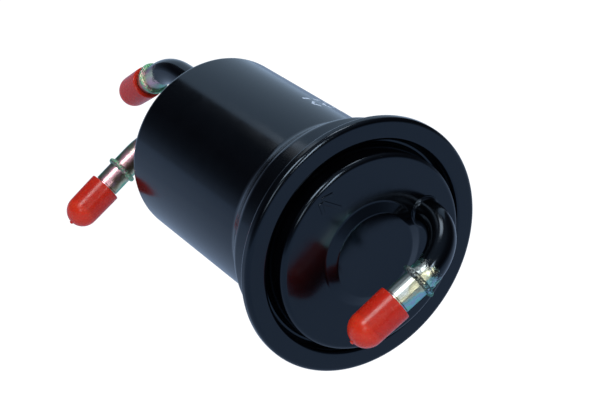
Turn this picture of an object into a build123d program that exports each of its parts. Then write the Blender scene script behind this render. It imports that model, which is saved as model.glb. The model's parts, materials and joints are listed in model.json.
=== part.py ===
from build123d import *
import os
from math import cos, pi, radians, sin

# Fuel filter, in millimetres. The X axis is the can's axis and points out of the cover.
# The origin is on that axis, halfway along the can's straight wall, where the bracket's
# band goes round it. +Z is up. "Front" is the cover's end, "far" is the can's blind end.

# ---- can ----
can_radius = 29.0           # outside of the straight wall
can_wall = 0.8
can_length = 83.6           # front of the rolled seam to the blind end
can_corner = 3.0            # outside radius at the blind end
collar_step = 4.0           # how much wider the mouth is than the straight wall, in radius
collar_length = 14.3        # front of the seam to where the mouth starts to narrow
shoulder_length = 6.7       # along the can, from the collar to the straight wall
shoulder_foot_round = 6.0   # hollow rounding where the wall starts to widen
shoulder_top_round = 4.0    # rounding where the shoulder meets the collar

# ---- end cover and rolled seam ----
cover_wall = 1.0
sheet_gap = 0.05            # between the cover's skirt and the can's mouth
seam_step = 4.5             # how far the rolled seam stands out from the collar
seam_round = 1.4            # rounding of the rolled edge
seam_hem_width = 3.2        # how far the cover is turned under behind the can's lip
compound_height = 0.95      # sealing compound between the cover and the can's lip
groove_width = 2.25         # ring groove between the seam and the dome
dome_height = 3.75          # plateau above the seam's front face
dome_corner = 1.5
groove_depth = 4.5          # floor of the ring groove below the seam's front face
groove_floor_round = 1.05
groove_edge_round = 1.1     # rounding where the groove meets the seam's front face
boss_root_radius = 15.4
boss_root_round = 2.0
boss_crest_radius = 12.3
boss_crest_round = 1.6
boss_height = 1.1
boss_dish = 0.35            # how far the middle of the boss is dished

# ---- pipes ----
pipe_radius = 4.0
pipe_wall = 1.0
pipe_inside = 3.0           # how far each pipe reaches into the can
bead_width = 1.5
bead_round = 0.6
lead_in_step = 0.2          # how much smaller the end is that a hose starts on, in radius
lead_in_length = 9.5
pipe_chamfer = 0.3
braze_width = 1.2
braze_height = 1.3
braze_hollow = 0.35         # middle of the fillet's face, as a share of its width and height

# ---- dust caps ----
cap_wall = 1.4
cap_clearance = 0.05        # radial, on the pipe's lead-in
cap_length = 15.6
cap_tip_wall = 1.6
cap_mouth_gap = 0.4         # from the end of the pipe's full-size wall to the cap's mouth
cap_mouth_round = 0.25
cap_nub_radius = 0.6        # moulding pip on the closed end
cap_nub_height = 0.5
cap_nub_sink = 0.5          # how far the pip is rooted in the end

# ---- filter element ----
pleat_count = 48
paper_thickness = 0.45
paper_inner_radius = 10.8
element_room = 37.6         # length of the can not taken by the pleats
element_gap = 2.2           # radial, round the end plates
clip_wall = 0.3             # folded strip that closes the pleats into a ring
clip_gap = 0.1
clip_depth = 2.2
clip_inside_width = 1.1
tube_radius = 9.8           # outside of the perforated centre tube
tube_wall = 0.6
tube_hole_radius = 1.5
tube_hole_columns = 10
tube_hole_rows = 8
end_plate_wall = 0.6
end_plate_gap = 0.9         # radial, from the pleats to the inside of a plate's rim
end_plate_rim = 3.0
end_plate_round = 0.8
potting_height = 1.6
potting_gap = 0.25          # radial, inside an end plate's rounded rim
outlet_neck_radius = 7.0    # outside of the neck on the outlet end plate
outlet_neck_length = 5.0
outlet_neck_round = 0.4

# ---- seal, collector and spring ----
seal_radius = 10.5
seal_height = 3.6
seal_round = 0.9
seal_gap = 0.1              # radial, on the outlet neck
collector_wall = 0.8
collector_height = 12.0     # inside of the blind end to the seat
collector_rim = 4.0
collector_round = 1.2
collector_gap = 0.1         # radial, in the can
collector_hole_gap = 0.6    # radial, round the outlet neck
spring_wire = 1.6
spring_radius = 10.0        # to the middle of the wire
spring_turns = 3.5
spring_end_gap = 0.05       # at each end of the spring
spring_seat_wall = 0.8
spring_seat_rim = 2.2
spring_seat_gap = 0.4       # radial, round the spring
spring_seat_round = 0.9

# ---- where things stand along X ----
band_length = can_length - can_corner - collar_length - shoulder_length
paper_length = can_length - element_room
front_x = collar_length + shoulder_length + band_length / 2
far_x = front_x - can_length
plateau_x = front_x + dome_height
lip_x = front_x - cover_wall - compound_height
hem_x = lip_x - can_wall - cover_wall
seat_x = far_x + can_wall + collector_height
outlet_plate_x = seat_x + seal_height
paper_x = outlet_plate_x + end_plate_wall + potting_height
inlet_plate_x = paper_x + paper_length + potting_height + end_plate_wall
spring_seat_x = inlet_plate_x + spring_seat_wall
boss_slope = boss_dish / boss_crest_radius
spring_inner_radius = spring_radius - spring_wire / 2
boss_back_x = plateau_x + boss_height - boss_dish + boss_slope * spring_inner_radius - cover_wall

# ---- radii that follow from others ----
collar_radius = can_radius + collar_step
seam_radius = collar_radius + seam_step
groove_radius = collar_radius - can_wall - sheet_gap - cover_wall
lip_radius = seam_radius - seam_round - sheet_gap
dome_radius = groove_radius - groove_width
end_plate_radius = can_radius - can_wall - element_gap
paper_outer_radius = end_plate_radius - end_plate_wall - end_plate_gap
pipe_bore = pipe_radius - pipe_wall
lead_in_radius = pipe_radius - lead_in_step
cap_bore = lead_in_radius + cap_clearance
cap_radius = cap_bore + cap_wall
spring_seat_radius = spring_radius + spring_wire / 2 + spring_seat_gap + spring_seat_wall

# Each pipe: its foot (distance and angle from the can's axis, angles from +Y towards +Z),
# the way it heads after the bend, the height of the bend's corner above the sheet, the
# bend's angle and radius, and its spigot: where the bead is and where the full-size wall
# ends, both from the corner along the spigot, and how far the bead stands out of the wall.
pipes = {
    "inlet": dict(side=1, foot_radius=18.9, foot_angle=26.3, heading=-145.9, rise=18.3, bend=94.2,
                  bend_radius=15.3, bead_at=17.2, bead_height=1.4, wall_end=25.0),
    "outlet": dict(side=-1, foot_radius=4.8, foot_angle=165.7, heading=-144.1, rise=21.5, bend=91.2,
                   bend_radius=15.3, bead_at=21.5, bead_height=1.0, wall_end=28.5),
    "return": dict(side=-1, foot_radius=20.5, foot_angle=101.3, heading=-97.3, rise=19.6, bend=33.7,
                   bend_radius=25.0, bead_at=12.5, bead_height=1.1, wall_end=16.2),
}

os.makedirs("parts", exist_ok=True)


def save(part, label):
    """Give a finished piece its label and write it."""
    part.label = label
    export_step(part, f"parts/{label}.step")


def pipe_points(spec):
    """Return a pipe's foot, its bend's corner, the way out of the can and the spigot's way."""
    along = Vector(spec["side"], 0, 0)
    across = Vector(0, cos(radians(spec["heading"])), sin(radians(spec["heading"])))
    foot = Vector(
        plateau_x if spec["side"] > 0 else far_x,
        spec["foot_radius"] * cos(radians(spec["foot_angle"])),
        spec["foot_radius"] * sin(radians(spec["foot_angle"])),
    )
    corner = foot + along * spec["rise"]
    way = along * cos(radians(spec["bend"])) + across * sin(radians(spec["bend"]))
    return foot, corner, along, way


def profile_plane(origin, way):
    """Return a plane through an axis: local x runs along the axis, local y away from it."""
    across = Plane(origin=origin, z_dir=way)
    return Plane(origin=origin, x_dir=way, z_dir=across.x_dir)


# ---------------------------------------------------------------- can
with BuildPart() as can:
    with BuildSketch(Plane.XZ):
        with BuildLine():
            can_skin = FilletPolyline(
                (far_x, 0),
                (far_x, can_radius),
                (front_x - collar_length - shoulder_length, can_radius),
                (front_x - collar_length, collar_radius),
                (lip_x - can_wall, collar_radius),
                (lip_x - can_wall, lip_radius),
                radius=(can_corner, shoulder_foot_round, shoulder_top_round, can_wall),
            )
            offset(can_skin, amount=can_wall, side=Side.RIGHT)
        make_face()
    revolve(axis=Axis.X)
    for spec in (pipes["outlet"], pipes["return"]):
        foot, corner, along, way = pipe_points(spec)
        with BuildSketch(Plane(origin=foot, z_dir=-along)):
            Circle(pipe_radius)
        extrude(amount=can_wall, mode=Mode.SUBTRACT)
save(can.part, "can")

# ---------------------------------------------------------------- end cover and seam
with BuildPart() as end_cover:
    with BuildSketch(Plane.XZ):
        with BuildLine():
            cover_skin = FilletPolyline(
                (plateau_x + boss_height - boss_dish, 0),
                (plateau_x + boss_height, boss_crest_radius),
                (plateau_x, boss_root_radius),
                (plateau_x, dome_radius),
                (front_x - groove_depth, dome_radius),
                (front_x - groove_depth, groove_radius),
                (front_x, groove_radius),
                (front_x, seam_radius),
                (hem_x, seam_radius),
                (hem_x, seam_radius - seam_hem_width),
                radius=(
                    boss_crest_round,
                    boss_root_round,
                    dome_corner,
                    groove_floor_round,
                    groove_floor_round,
                    groove_edge_round,
                    seam_round,
                    seam_round,
                ),
            )
            offset(cover_skin, amount=cover_wall, side=Side.LEFT)
        make_face()
    revolve(axis=Axis.X)
    foot, corner, along, way = pipe_points(pipes["inlet"])
    with BuildSketch(Plane(origin=foot + along * boss_height, z_dir=-along)):
        Circle(pipe_radius)
    extrude(amount=boss_height + 2 * cover_wall, mode=Mode.SUBTRACT)
save(end_cover.part, "end_cover")

with BuildPart() as seam_compound:
    with BuildSketch(Plane.YZ.offset(lip_x)):
        Circle(lip_radius)
        Circle(collar_radius + can_wall, mode=Mode.SUBTRACT)
    extrude(amount=compound_height)
save(seam_compound.part, "seam_compound")

# ---------------------------------------------------------------- pipes, braze rings and caps
sheets = {1: end_cover.part, -1: can.part}

for name, spec in pipes.items():
    foot, corner, along, way = pipe_points(spec)
    wall_end = corner + way * spec["wall_end"]
    bead_radius = pipe_radius + spec["bead_height"]

    with BuildPart() as pipe:
        with BuildLine() as route:
            FilletPolyline(
                foot - along * pipe_inside,
                corner,
                wall_end + way * lead_in_length,
                radius=spec["bend_radius"],
            )
        with BuildSketch(Plane(origin=route.line @ 0, z_dir=along)):
            Circle(pipe_radius)
            Circle(pipe_bore, mode=Mode.SUBTRACT)
        sweep()
        with BuildSketch(Plane(origin=corner + way * (spec["bead_at"] - bead_width / 2), z_dir=way)):
            Circle(bead_radius)
            Circle(pipe_bore, mode=Mode.SUBTRACT)
        extrude(amount=bead_width)
        circles = pipe.edges().filter_by(GeomType.CIRCLE)
        fillet(circles.filter_by(lambda e: abs(e.radius - bead_radius) < sheet_gap), bead_round)
        with BuildSketch(Plane(origin=wall_end, z_dir=way)):
            Circle(cap_radius)
            Circle(lead_in_radius, mode=Mode.SUBTRACT)
        extrude(amount=lead_in_length, mode=Mode.SUBTRACT)
        chamfer(pipe.edges().sort_by(Axis(corner, way))[-2:], pipe_chamfer)
    save(pipe.part, f"{name}_pipe")

    with BuildPart() as braze:
        with BuildSketch(profile_plane(foot, along)):
            with BuildLine():
                Polyline(
                    (0, pipe_radius + braze_width),
                    (0, pipe_radius),
                    (braze_height, pipe_radius),
                )
                ThreePointArc(
                    (braze_height, pipe_radius),
                    (braze_height * braze_hollow, pipe_radius + braze_width * braze_hollow),
                    (0, pipe_radius + braze_width),
                )
            make_face()
        revolve(axis=Axis(foot, along))
        add(sheets[spec["side"]], mode=Mode.SUBTRACT)
    save(braze.part, f"{name}_braze")

    mouth = wall_end + way * cap_mouth_gap
    with BuildPart() as cap:
        with BuildSketch(profile_plane(mouth, way)):
            with BuildLine():
                Line((0, cap_bore), (0, cap_radius))
                Line((0, cap_radius), (cap_length - cap_radius, cap_radius))
                CenterArc((cap_length - cap_radius, 0), cap_radius, 0, 90)
                Line((cap_length, 0), (cap_length - cap_tip_wall, 0))
                CenterArc((cap_length - cap_tip_wall - cap_bore, 0), cap_bore, 0, 90)
                Line((cap_length - cap_tip_wall - cap_bore, cap_bore), (0, cap_bore))
            make_face()
        revolve(axis=Axis(mouth, way))
        fillet(cap.edges().sort_by(Axis(mouth, way))[:2], cap_mouth_round)
        with BuildSketch(Plane(origin=mouth + way * (cap_length - cap_nub_sink), z_dir=way)):
            Circle(cap_nub_radius)
        extrude(amount=cap_nub_sink + cap_nub_height)
        fillet(cap.edges().sort_by(Axis(mouth, way))[-1], cap_nub_radius / 2)
    save(cap.part, f"{name}_cap")

# ---------------------------------------------------------------- filter element
pleat_pitch = 2 * pi / pleat_count
pleat_corners = []
for i in range(pleat_count):
    tip_angle = i * pleat_pitch
    valley_angle = tip_angle + pleat_pitch / 2
    pleat_corners.append((paper_outer_radius * cos(tip_angle), paper_outer_radius * sin(tip_angle)))
    pleat_corners.append((paper_inner_radius * cos(valley_angle), paper_inner_radius * sin(valley_angle)))

with BuildPart() as pleated_paper:
    with BuildSketch(Plane.YZ.offset(paper_x)):
        with BuildLine():
            Polyline(*pleat_corners, close=True)
        make_face()
        with BuildLine():
            pleats = Polyline(*pleat_corners, close=True)
            offset(pleats, amount=-paper_thickness, kind=Kind.ARC)
        make_face(mode=Mode.SUBTRACT)
    extrude(amount=paper_length)
save(pleated_paper.part, "pleated_paper")

clip_tip = paper_outer_radius + clip_gap + clip_wall
with BuildPart() as paper_clip:
    with BuildSketch(Plane.YZ.offset(paper_x)):
        with Locations((clip_tip - clip_depth / 2, 0)):
            Rectangle(clip_depth, clip_inside_width + 2 * clip_wall)
        with Locations((clip_tip - clip_wall - clip_depth / 2, 0)):
            Rectangle(clip_depth, clip_inside_width, mode=Mode.SUBTRACT)
    extrude(amount=paper_length)
save(paper_clip.part, "paper_clip")

tube_start_x = outlet_plate_x + end_plate_wall
tube_length = paper_length + 2 * potting_height
row_pitch = paper_length / tube_hole_rows
with BuildPart() as centre_tube:
    with BuildSketch(Plane.YZ.offset(tube_start_x)):
        Circle(tube_radius)
        Circle(tube_radius - tube_wall, mode=Mode.SUBTRACT)
    extrude(amount=tube_length)
    for column in range(tube_hole_columns):
        turn = 2 * pi * column / tube_hole_columns
        facing = Plane(
            origin=(tube_start_x + tube_length / 2, 0, 0),
            x_dir=(1, 0, 0),
            z_dir=(0, cos(turn), sin(turn)),
        )
        with BuildSketch(facing):
            with GridLocations(row_pitch, 1, tube_hole_rows, 1):
                Circle(tube_hole_radius)
        extrude(amount=tube_radius + tube_wall, mode=Mode.SUBTRACT)
save(centre_tube.part, "centre_tube")

pottings = {"outlet_potting": paper_x - potting_height, "inlet_potting": paper_x + paper_length}
for name, start_x in pottings.items():
    with BuildPart() as potting:
        with BuildSketch(Plane.YZ.offset(start_x)):
            Circle(end_plate_radius - end_plate_wall - potting_gap)
            Circle(tube_radius, mode=Mode.SUBTRACT)
        extrude(amount=potting_height)
    save(potting.part, name)

with BuildPart() as outlet_end_plate:
    with BuildSketch(Plane.XZ):
        with BuildLine():
            plate_skin = FilletPolyline(
                (outlet_plate_x + end_plate_rim, end_plate_radius),
                (outlet_plate_x, end_plate_radius),
                (outlet_plate_x, outlet_neck_radius),
                (outlet_plate_x - outlet_neck_length, outlet_neck_radius),
                radius=(end_plate_round, outlet_neck_round),
            )
            offset(plate_skin, amount=end_plate_wall, side=Side.LEFT)
        make_face()
    revolve(axis=Axis.X)
save(outlet_end_plate.part, "outlet_end_plate")

with BuildPart() as inlet_end_plate:
    with BuildSketch(Plane.XZ):
        with BuildLine():
            plate_skin = FilletPolyline(
                (inlet_plate_x, 0),
                (inlet_plate_x, end_plate_radius),
                (inlet_plate_x - end_plate_rim, end_plate_radius),
                radius=end_plate_round,
            )
            offset(plate_skin, amount=end_plate_wall, side=Side.LEFT)
        make_face()
    revolve(axis=Axis.X)
save(inlet_end_plate.part, "inlet_end_plate")

# ---------------------------------------------------------------- seal, collector and spring
with BuildPart() as element_seal:
    with BuildSketch(Plane.YZ.offset(seat_x)):
        Circle(seal_radius)
        Circle(outlet_neck_radius + seal_gap, mode=Mode.SUBTRACT)
    extrude(amount=seal_height)
    circles = element_seal.edges().filter_by(GeomType.CIRCLE)
    fillet(circles.group_by(SortBy.RADIUS)[-1], seal_round)
    chamfer(circles.group_by(SortBy.RADIUS)[0], outlet_neck_round + seal_gap)
save(element_seal.part, "element_seal")

collector_radius = can_radius - can_wall - collector_gap
with BuildPart() as collector_plate:
    with BuildSketch(Plane.XZ):
        with BuildLine():
            collector_skin = FilletPolyline(
                (seat_x, outlet_neck_radius + collector_hole_gap),
                (seat_x, collector_radius),
                (seat_x - collector_rim, collector_radius),
                radius=collector_round,
            )
            offset(collector_skin, amount=collector_wall, side=Side.LEFT)
        make_face()
    revolve(axis=Axis.X)
save(collector_plate.part, "collector_plate")

with BuildPart() as spring_seat:
    with BuildSketch(Plane.XZ):
        with BuildLine():
            seat_skin = FilletPolyline(
                (spring_seat_x - spring_seat_wall, 0),
                (spring_seat_x - spring_seat_wall, spring_seat_radius),
                (spring_seat_x - spring_seat_wall + spring_seat_rim, spring_seat_radius),
                radius=spring_seat_round,
            )
            offset(seat_skin, amount=spring_seat_wall, side=Side.RIGHT)
        make_face()
    revolve(axis=Axis.X)
save(spring_seat.part, "spring_seat")

coil_start_x = spring_seat_x + spring_end_gap + spring_wire / 2
coil_end_x = boss_back_x - spring_end_gap - spring_wire / 2
with BuildPart() as element_spring:
    with BuildLine() as coil:
        Helix(
            pitch=(coil_end_x - coil_start_x) / spring_turns,
            height=coil_end_x - coil_start_x,
            radius=spring_radius,
            center=(coil_start_x, 0, 0),
            direction=(1, 0, 0),
        )
    with BuildSketch(Plane(origin=coil.line @ 0, z_dir=coil.line % 0)):
        Circle(spring_wire / 2)
    sweep(is_frenet=True)
save(element_spring.part, "element_spring")
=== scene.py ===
"""Fuel filter: finished sheet metal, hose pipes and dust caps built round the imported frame.

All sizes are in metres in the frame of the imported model: X runs along the can's axis and out
of the cover, Z is up, and the origin is in the middle of the wall that the bracket grips.
"""

import json
import logging
import math
from dataclasses import dataclass, field, replace
from enum import Enum
from typing import Callable, Optional, Sequence

import bmesh
import bpy
from mathutils import Euler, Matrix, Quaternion, Vector


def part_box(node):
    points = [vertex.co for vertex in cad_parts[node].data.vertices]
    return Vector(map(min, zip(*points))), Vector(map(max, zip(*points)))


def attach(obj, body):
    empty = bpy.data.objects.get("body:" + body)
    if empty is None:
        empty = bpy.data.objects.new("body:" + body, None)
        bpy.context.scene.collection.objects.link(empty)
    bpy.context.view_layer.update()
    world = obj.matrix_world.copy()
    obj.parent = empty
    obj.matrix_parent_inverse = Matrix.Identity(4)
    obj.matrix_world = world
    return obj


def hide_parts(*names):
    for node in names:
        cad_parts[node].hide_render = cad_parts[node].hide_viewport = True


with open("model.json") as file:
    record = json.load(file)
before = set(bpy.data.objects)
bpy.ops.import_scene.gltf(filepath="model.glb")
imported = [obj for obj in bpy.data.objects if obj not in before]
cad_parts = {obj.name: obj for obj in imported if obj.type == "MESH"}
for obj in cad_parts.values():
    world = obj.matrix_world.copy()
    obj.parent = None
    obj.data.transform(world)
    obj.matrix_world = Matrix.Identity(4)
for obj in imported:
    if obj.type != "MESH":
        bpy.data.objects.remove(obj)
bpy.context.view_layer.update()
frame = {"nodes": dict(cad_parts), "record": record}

LOG = logging.getLogger("fuel_filter")
MM = 0.001
NEAR = 0.01 * MM
DOUBLES = NEAR / 10
SAME_RADIUS = NEAR / 100
CENTRE = Vector((0.0, 0.0, 0.0))
AXIS = Vector((1.0, 0.0, 0.0))
BODY = "filter"
# The spin operator turns left-handed about its axis for a positive angle.
SPIN_SIGN = -1.0
HOLE_SIDES = 64
HOLE_CUTTER = 6.0 * MM
FACE_WEIGHT = 90

Colour = tuple[float, float, float]


class Slot(Enum):
    """The record's material slots."""

    BLACK_PAINT = "black_paint"
    ZINC_PLATE = "zinc_plate"
    RED_VINYL = "red_vinyl"
    FILTER_PAPER = "filter_paper"
    TINPLATE = "tinplate"
    POTTING = "potting"
    SEAL_RUBBER = "seal_rubber"
    SEALING_COMPOUND = "sealing_compound"
    SPRING_STEEL = "spring_steel"


# ---------------------------------------------------------------- bench work on meshes
def deselect() -> None:
    """Leave edit mode and clear the selection, so that an operator acts on one piece only."""
    if bpy.context.object and bpy.context.object.mode != "OBJECT":
        bpy.ops.object.mode_set(mode="OBJECT")
    bpy.ops.object.select_all(action="DESELECT")


def pick(piece: bpy.types.Object) -> None:
    """Make one piece the only selected and the active one.

    Args:
        piece: The object to work on next.
    """
    deselect()
    piece.select_set(True)
    bpy.context.view_layer.objects.active = piece


def edit_all(piece: bpy.types.Object) -> None:
    """Open a piece in edit mode with all of it selected.

    Args:
        piece: The object to open.
    """
    pick(piece)
    bpy.ops.object.mode_set(mode="EDIT")
    bpy.ops.mesh.select_all(action="SELECT")


def select_edges(piece: bpy.types.Object, wanted: Callable[[bmesh.types.BMEdge], bool]) -> int:
    """Select edges of the piece that is open in edit mode.

    Args:
        piece: The object that is open.
        wanted: Says whether an edge is to be selected.

    Returns:
        How many edges are selected.
    """
    bpy.ops.mesh.select_all(action="DESELECT")
    bpy.ops.mesh.select_mode(type="EDGE")
    mesh = bmesh.from_edit_mesh(piece.data)
    chosen = [edge for edge in mesh.edges if wanted(edge)]
    for edge in chosen:
        edge.select = True
    mesh.select_flush_mode()
    bmesh.update_edit_mesh(piece.data)
    return len(chosen)


def apply_modifier(piece: bpy.types.Object, kind: str, **settings: object) -> None:
    """Add a modifier to a piece and apply it.

    Args:
        piece: The object to change.
        kind: The modifier's type.
        **settings: Its settings by name.
    """
    pick(piece)
    bpy.ops.object.modifier_add(type=kind)
    modifier = piece.modifiers[-1]
    for name, value in settings.items():
        setattr(modifier, name, value)
    bpy.ops.object.modifier_apply(modifier=modifier.name)


def fair(piece: bpy.types.Object, angle: float = 32.0) -> None:
    """Smooth a piece's shading while its flat faces stay flat and its corners sharp.

    Args:
        piece: The object to shade.
        angle: Edges that turn by more than this many degrees stay sharp.
    """
    pick(piece)
    bpy.ops.object.shade_smooth_by_angle(angle=math.radians(angle))
    apply_modifier(piece, "WEIGHTED_NORMAL", mode="FACE_AREA", weight=FACE_WEIGHT, keep_sharp=True)


def turn_outwards(piece: bpy.types.Object, inside: Vector) -> None:
    """Merge a piece's doubles and point its faces away from a point inside it.

    Args:
        piece: The object to mend.
        inside: A point that its faces should look away from.
    """
    edit_all(piece)
    bpy.ops.mesh.remove_doubles(threshold=DOUBLES)
    bpy.ops.mesh.normals_make_consistent(inside=False)
    mesh = bmesh.from_edit_mesh(piece.data)
    lean = sum((f.calc_center_median() - inside).dot(f.normal) * f.calc_area() for f in mesh.faces)
    if lean < 0.0:
        bpy.ops.mesh.flip_normals()
    deselect()


@dataclass(frozen=True)
class Station:
    """One ring of a turned shape.

    Attributes:
        along: Distance along the axis from the shape's origin.
        radius: The ring's radius.
        rounding: Radius of the fillet or round on the ring's corner, 0 for none.
        steps: How many faces the rounding gets.
    """

    along: float
    radius: float
    rounding: float = 0.0
    steps: int = 8


@dataclass
class Lathe:
    """Turns rings about an axis into a skin, the way a sheet is spun over a former.

    Attributes:
        origin: A point on the axis, from which stations are measured.
        way: Unit vector along the axis.
        sides: How many sides each ring has.
    """

    origin: Vector
    way: Vector
    sides: int = 256

    def start(self, name: str, station: Station) -> bpy.types.Object:
        """Add the first ring and open it in edit mode.

        Args:
            name: The piece's name.
            station: Where the ring stands and how large it is.

        Returns:
            The new object.
        """
        deselect()
        bpy.ops.mesh.primitive_circle_add(
            vertices=self.sides,
            radius=station.radius,
            location=self.origin + self.way * station.along,
            rotation=self.way.to_track_quat("Z", "Y").to_euler(),
        )
        piece = bpy.context.object
        piece.name = name
        piece.data.name = name
        bpy.ops.object.transform_apply(location=True, rotation=True, scale=True)
        edit_all(piece)
        return piece

    def extend(self, station: Station, last: Station) -> None:
        """Extrude the selected ring to the next station.

        Args:
            station: The next ring.
            last: The ring that is selected.
        """
        move = self.way * (station.along - last.along)
        bpy.ops.mesh.extrude_region_move(TRANSFORM_OT_translate={"value": move})
        if abs(station.radius - last.radius) > SAME_RADIUS:
            size = station.radius / last.radius
            centre = self.origin + self.way * station.along
            bpy.ops.transform.resize(value=(size, size, size), center_override=centre)

    def ring_edge(self, edge: bmesh.types.BMEdge, station: Station) -> bool:
        """Say whether an edge lies on a station's ring.

        Args:
            edge: The edge.
            station: The ring.

        Returns:
            True when both its ends are on the ring.
        """
        for vert in edge.verts:
            arm = vert.co - self.origin
            along = arm.dot(self.way)
            radius = (arm - self.way * along).length
            if abs(along - station.along) > NEAR or abs(radius - station.radius) > NEAR:
                return False
        return True

    def soften(self, piece: bpy.types.Object, stations: Sequence[Station]) -> None:
        """Bevel each ring that has a rounding.

        Args:
            piece: The object, open in edit mode.
            stations: Its rings in order.
        """
        for before, here, after in zip(stations, stations[1:], stations[2:]):
            if here.rounding <= 0.0:
                continue
            inward = Vector((here.along - before.along, here.radius - before.radius))
            onward = Vector((after.along - here.along, after.radius - here.radius))
            if select_edges(piece, lambda edge: self.ring_edge(edge, here)):
                bpy.ops.mesh.bevel(
                    offset_type="OFFSET",
                    offset=here.rounding * math.tan(inward.angle(onward) / 2),
                    segments=here.steps,
                    profile=0.5,
                    affect="EDGES",
                    clamp_overlap=False,
                )

    def close(self, piece: bpy.types.Object, station: Station) -> None:
        """Fill a ring with one face.

        Args:
            piece: The object, open in edit mode.
            station: The ring to fill.
        """
        select_edges(piece, lambda edge: self.ring_edge(edge, station))
        bpy.ops.mesh.edge_face_add()

    def skin(
        self,
        name: str,
        stations: Sequence[Station],
        close_first: bool = False,
        close_last: bool = False,
    ) -> bpy.types.Object:
        """Turn a whole skin from its stations.

        Args:
            name: The piece's name.
            stations: Its rings in order.
            close_first: Fill the first ring.
            close_last: Fill the last ring.

        Returns:
            The new object, in object mode.
        """
        piece = self.start(name, stations[0])
        for last, station in zip(stations, stations[1:]):
            self.extend(station, last)
        self.soften(piece, stations)
        if close_first:
            self.close(piece, stations[0])
        if close_last:
            self.close(piece, stations[-1])
        deselect()
        return piece


def pierce(piece: bpy.types.Object, centre: Vector, way: Vector, radius: float) -> None:
    """Cut a round hole through a piece of sheet.

    Args:
        piece: The object to cut.
        centre: Middle of the hole.
        way: The hole's axis.
        radius: The hole's radius.
    """
    deselect()
    bpy.ops.mesh.primitive_cylinder_add(
        vertices=HOLE_SIDES,
        radius=radius,
        depth=HOLE_CUTTER,
        location=centre,
        rotation=way.to_track_quat("Z", "Y").to_euler(),
    )
    cutter = bpy.context.object
    apply_modifier(piece, "BOOLEAN", operation="DIFFERENCE", solver="EXACT", object=cutter)
    pick(cutter)
    bpy.ops.object.delete()


def finish_piece(
    piece: bpy.types.Object,
    finish: bpy.types.Material,
    body: str,
    slot: Slot,
    *nodes: str,
) -> None:
    """Coat a piece, let it ride on its body and stand for CAD nodes.

    Args:
        piece: The finished object.
        finish: Its material.
        body: The CAD body that it moves with.
        slot: The record's material slot; not used.
        *nodes: CAD nodes that it replaces.
    """
    piece.data.materials.append(finish)
    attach(piece, body)
    if nodes:
        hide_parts(*nodes)
    LOG.info("%s: %d faces on %s", piece.name, len(piece.data.polygons), body)


# ---------------------------------------------------------------- finishes
@dataclass(frozen=True)
class Grain:
    """A noise pattern that takes a value over a range.

    Attributes:
        scale: Grains per metre.
        detail: Octaves of the noise.
        low: Noise at which the range starts.
        high: Noise at which the range ends.
        start: The range's first value.
        end: The range's last value.
    """

    scale: float
    detail: float
    low: float = 0.3
    high: float = 0.7
    start: float = 0.0
    end: float = 1.0


class NodeBench:
    """Lays out the nodes of one tree."""

    def __init__(self, tree: bpy.types.NodeTree) -> None:
        """Take the tree to work on."""
        self.nodes = tree.nodes
        self.links = tree.links

    def feed(self, node: bpy.types.Node, inputs: dict[object, object]) -> None:
        """Give a node its inputs.

        Args:
            node: The node.
            inputs: By name or number, a socket to link from or a plain value to set.
        """
        for key, value in inputs.items():
            if isinstance(value, bpy.types.NodeSocket):
                self.links.new(value, node.inputs[key])
            else:
                node.inputs[key].default_value = value

    def add(self, kind: str, inputs: dict[object, object], **settings: object) -> bpy.types.Node:
        """Add a node.

        Args:
            kind: The end of its type's name, after ShaderNode.
            inputs: What it is fed.
            **settings: Its settings by name.

        Returns:
            The new node.
        """
        node = self.nodes.new(f"ShaderNode{kind}")
        for name, value in settings.items():
            setattr(node, name, value)
        self.feed(node, inputs)
        return node

    def ramp(
        self, value: bpy.types.NodeSocket, stops: Sequence[tuple[float, Colour]]
    ) -> bpy.types.NodeSocket:
        """Turn a value into a colour.

        Args:
            value: The value, 0 to 1.
            stops: Values with their colours, in order.

        Returns:
            The colour.
        """
        node = self.add("ValToRGB", {"Fac": value})
        elements = node.color_ramp.elements
        while len(elements) < len(stops):
            elements.new(1.0)
        for element, (position, colour) in zip(elements, stops):
            element.position = position
            element.color = (*colour, 1.0)
        return node.outputs["Color"]

    def mix(self, amount: bpy.types.NodeSocket, first: object, second: object) -> bpy.types.NodeSocket:
        """Mix two colours.

        Args:
            amount: Share of the second, 0 to 1.
            first: A colour or a socket.
            second: A colour or a socket.

        Returns:
            The mixed colour.
        """
        tones = [
            tone if isinstance(tone, bpy.types.NodeSocket) else (*tone, 1.0)
            for tone in (first, second)
        ]
        return self.add("Mix", {0: amount, 6: tones[0], 7: tones[1]}, data_type="RGBA").outputs[2]

    def by_ray(self, seen: object, mirrored: object, cast: object) -> bpy.types.NodeSocket:
        """Give a backdrop one tone as it is seen, one in gloss and one as light.

        Args:
            seen: Its tone to the camera.
            mirrored: Its tone in reflections.
            cast: Its tone as light on the filter.

        Returns:
            The tone that fits the ray.
        """
        rays = self.add("LightPath", {})
        unseen = self.mix(rays.outputs["Is Glossy Ray"], cast, mirrored)
        return self.mix(rays.outputs["Is Camera Ray"], unseen, seen)


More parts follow.
